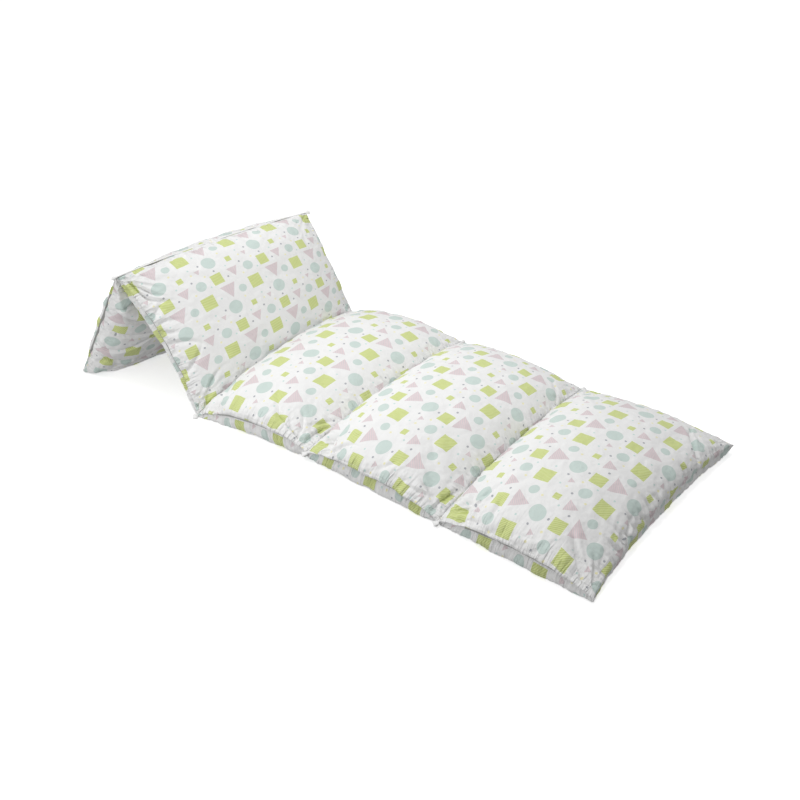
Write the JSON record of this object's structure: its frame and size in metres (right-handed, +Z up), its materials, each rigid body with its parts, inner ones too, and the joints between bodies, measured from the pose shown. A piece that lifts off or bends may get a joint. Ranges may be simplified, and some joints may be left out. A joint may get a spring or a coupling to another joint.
{
  "type": "folding floor lounger cushion cover",
  "caption": "Filled pillow-pocket floor lounger in one row, joined by stitched hinges, with two pockets propped up as a tent-shaped backrest.",
  "frame": {"origin": "middle of the whole object's box, on the floor", "axes": "+X from the backrest to the foot end, +Y across to the closed sides of the pockets, +Z up"},
  "size_m": [1.6113, 0.7579, 0.3519],
  "materials": {
    "printed_cloth": "matt woven, white with a small green, teal and pink geometric print",
    "stitched_hinge": "matt woven, doubled and stitched"
  },
  "bodies": {
    "root": {"pocket_head": "printed_cloth", "pocket_back": "printed_cloth", "pocket_seat": "printed_cloth", "pocket_middle": "printed_cloth", "pocket_foot": "printed_cloth", "hinge_ridge": "stitched_hinge", "hinge_back_seat": "stitched_hinge", "hinge_seat_middle": "stitched_hinge", "hinge_middle_foot": "stitched_hinge"}
  },
  "joints": []
}
